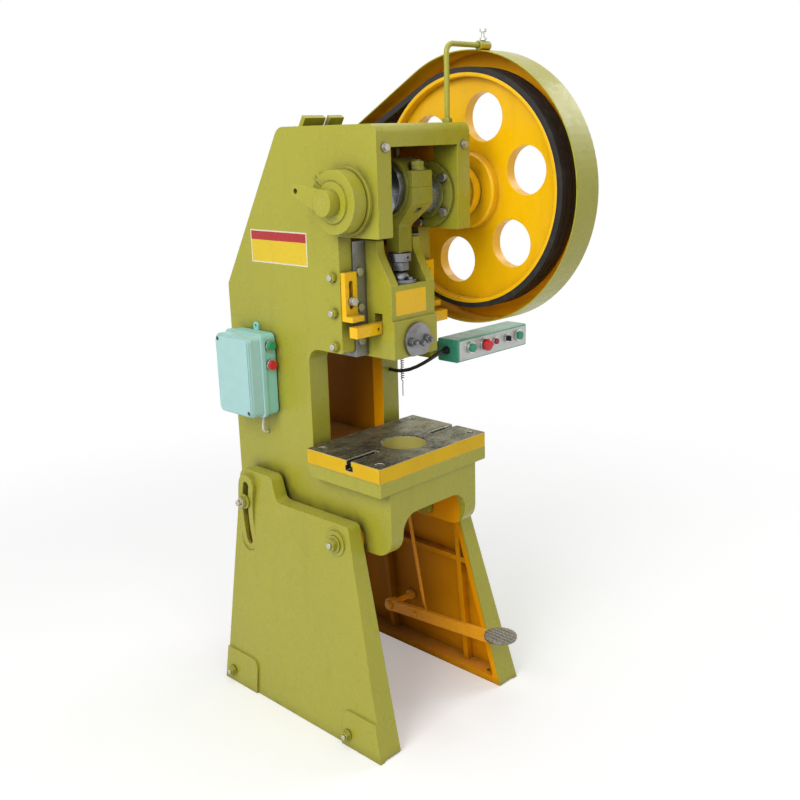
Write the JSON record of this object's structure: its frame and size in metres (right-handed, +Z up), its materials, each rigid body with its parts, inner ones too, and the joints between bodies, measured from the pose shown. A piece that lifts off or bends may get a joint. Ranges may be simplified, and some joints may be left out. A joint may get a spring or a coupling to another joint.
{
  "type": "mechanical stamping press",
  "caption": "Open-back inclinable C-frame stamping press with crank-driven ram, guarded flywheel, rear motor, foot pedal and push-button box.",
  "frame": {"origin": "on the floor, midway between the four anchor holes in the feet", "axes": "+X towards the flywheel, -Y towards the operator, +Z up; the ram axis is at X 0"},
  "size_m": [0.7112, 0.8605, 1.5965],
  "materials": {
    "olive_paint": "worn olive yellow-green enamel",
    "yellow_paint": "yellow enamel",
    "bright_steel": "turned or plated steel",
    "dark_steel": "ground and handled steel",
    "chrome_trim": "plated collars",
    "black_rubber": "black rubber",
    "black_plastic": "black moulded plastic",
    "mint_plastic": "pale mint moulded plastic",
    "white_cable": "white cable sheath",
    "green_paint": "green painted sheet",
    "silver_panel": "satin silver front sheet",
    "green_plastic": "green push button cap",
    "red_plastic": "red push button cap"
  },
  "bodies": {
    "stand": {"left_leg": "olive_paint", "right_leg": "olive_paint", "foot_studs": "olive_paint", "foot_nuts": "olive_paint", "pivot_bolts": "olive_paint", "pedal_stud": "bright_steel"},
    "press_frame": {"frame_casting": "olive_paint", "bolster_plate": "dark_steel", "bolster_bolts": "dark_steel", "tilt_lock_bolts": "bright_steel", "left_gib": "dark_steel", "right_gib": "dark_steel", "gib_screws": "bright_steel", "gib_adjusters": "bright_steel", "main_bushes": "olive_paint", "knockout_brackets": "yellow_paint", "frame_bolts": "bright_steel", "brake_band": "olive_paint", "flywheel_guard": "olive_paint", "guard_rods": "olive_paint", "motor": "olive_paint", "motor_plate": "olive_paint", "v_belts": "black_rubber", "ebox_base": "mint_plastic", "ebox_lid": "mint_plastic", "ebox_screws": "bright_steel", "ebox_cable": "white_cable", "button_collars": "chrome_trim", "control_box": "green_paint", "control_panel": "silver_panel", "control_bracket": "olive_paint", "control_gland": "black_plastic", "control_cable": "black_rubber"},
    "crank": {"crankshaft": "bright_steel", "brake_drum": "olive_paint", "shaft_arm": "olive_paint", "clutch_collar": "yellow_paint", "shaft_retainer": "bright_steel"},
    "flywheel_body": {"flywheel": "yellow_paint"},
    "pulley_body": {"motor_pulley": "dark_steel"},
    "ram_body": {"ram": "olive_paint", "shank_clamp": "bright_steel", "clamp_hardware": "bright_steel", "ball_seat": "bright_steel", "con_rod": "olive_paint", "con_rod_cap": "olive_paint", "cap_hardware": "olive_paint", "ball_screw": "bright_steel"},
    "knockout": {"knockout_bar": "yellow_paint", "knockout_spring": "dark_steel"},
    "foot_pedal": {"pedal": "yellow_paint"},
    "link_rod": {"pull_rod": "yellow_paint"},
    "clutch_trip": {"trip_lever": "yellow_paint"},
    "start_button_body": {"start_button": "green_plastic"},
    "stop_button_body": {"stop_button": "red_plastic"},
    "run_button_left_body": {"run_button_left": "green_plastic"},
    "run_button_right_body": {"run_button_right": "green_plastic"},
    "emergency_button_body": {"emergency_button": "red_plastic"},
    "reset_button_body": {"reset_button": "red_plastic"},
    "mode_key_body": {"mode_key": "black_plastic"}
  },
  "joints": [
    {"name": "frame_tilt", "type": "hinge", "parent": "stand", "child": "press_frame", "pos_m": [0, -0.115, 0.476], "axis": [-1, 0, 0], "range_deg": [0, 17]},
    {"name": "ram_slide", "type": "slide", "parent": "press_frame", "child": "ram_body", "axis": [0, 0, -1], "range_m": [0, 0.045]},
    {"name": "crank_turn", "type": "hinge", "parent": "press_frame", "child": "crank", "pos_m": [0, -0.146, 1.24], "axis": [1, 0, 0], "range_deg": [0, 180]},
    {"name": "flywheel_spin", "type": "hinge", "parent": "press_frame", "child": "flywheel_body", "pos_m": [0.255, -0.146, 1.24], "axis": [1, 0, 0], "continuous": true},
    {"name": "motor_pulley_spin", "type": "hinge", "parent": "press_frame", "child": "pulley_body", "pos_m": [0.255, 0.29462, 1.2741], "axis": [1, 0, 0], "continuous": true},
    {"name": "knockout_lift", "type": "slide", "parent": "ram_body", "child": "knockout", "axis": [0, 0, 1], "range_m": [0, 0.008]},
    {"name": "pedal_press", "type": "hinge", "parent": "stand", "child": "foot_pedal", "pos_m": [0.132, 0.048, 0.141], "axis": [1, 0, 0], "range_deg": [0, 8]},
    {"name": "pull_rod_slide", "type": "slide", "parent": "press_frame", "child": "link_rod", "axis": [0, -0.191, -0.9816], "range_m": [0, 0.0137]},
    {"name": "trip_lever_turn", "type": "hinge", "parent": "press_frame", "child": "clutch_trip", "pos_m": [0.163, 0.05, 1.09], "axis": [-1, 0, 0], "range_deg": [0, 10.8]},
    {"name": "start_button_press", "type": "slide", "parent": "press_frame", "child": "start_button_body", "axis": [0, 1, 0], "range_m": [0, 0.004], "stiffness_N_per_m": 300},
    {"name": "stop_button_press", "type": "slide", "parent": "press_frame", "child": "stop_button_body", "axis": [0, 1, 0], "range_m": [0, 0.004], "stiffness_N_per_m": 300},
    {"name": "run_button_left_press", "type": "slide", "parent": "press_frame", "child": "run_button_left_body", "axis": [0, 1, 0], "range_m": [0, 0.004], "stiffness_N_per_m": 300},
    {"name": "run_button_right_press", "type": "slide", "parent": "press_frame", "child": "run_button_right_body", "axis": [0, 1, 0], "range_m": [0, 0.004], "stiffness_N_per_m": 300},
    {"name": "emergency_button_press", "type": "slide", "parent": "press_frame", "child": "emergency_button_body", "axis": [0, 1, 0], "range_m": [0, 0.004], "stiffness_N_per_m": 300},
    {"name": "reset_button_press", "type": "slide", "parent": "press_frame", "child": "reset_button_body", "axis": [0, 1, 0], "range_m": [0, 0.003], "stiffness_N_per_m": 300},
    {"name": "mode_key_turn", "type": "hinge", "parent": "press_frame", "child": "mode_key_body", "pos_m": [0.363, -0.164, 0.866], "axis": [0, -1, 0], "range_deg": [0, 60]}
  ],
  "couplings": [
    {"joint": "crank_turn", "follows": "ram_slide", "rad_per_m": 69.8},
    {"joint": "motor_pulley_spin", "follows": "flywheel_spin", "ratio": 6.863},
    {"joint": "pull_rod_slide", "follows": "pedal_press", "m_per_rad": 0.0965},
    {"joint": "trip_lever_turn", "follows": "pedal_press", "ratio": 1.318}
  ]
}
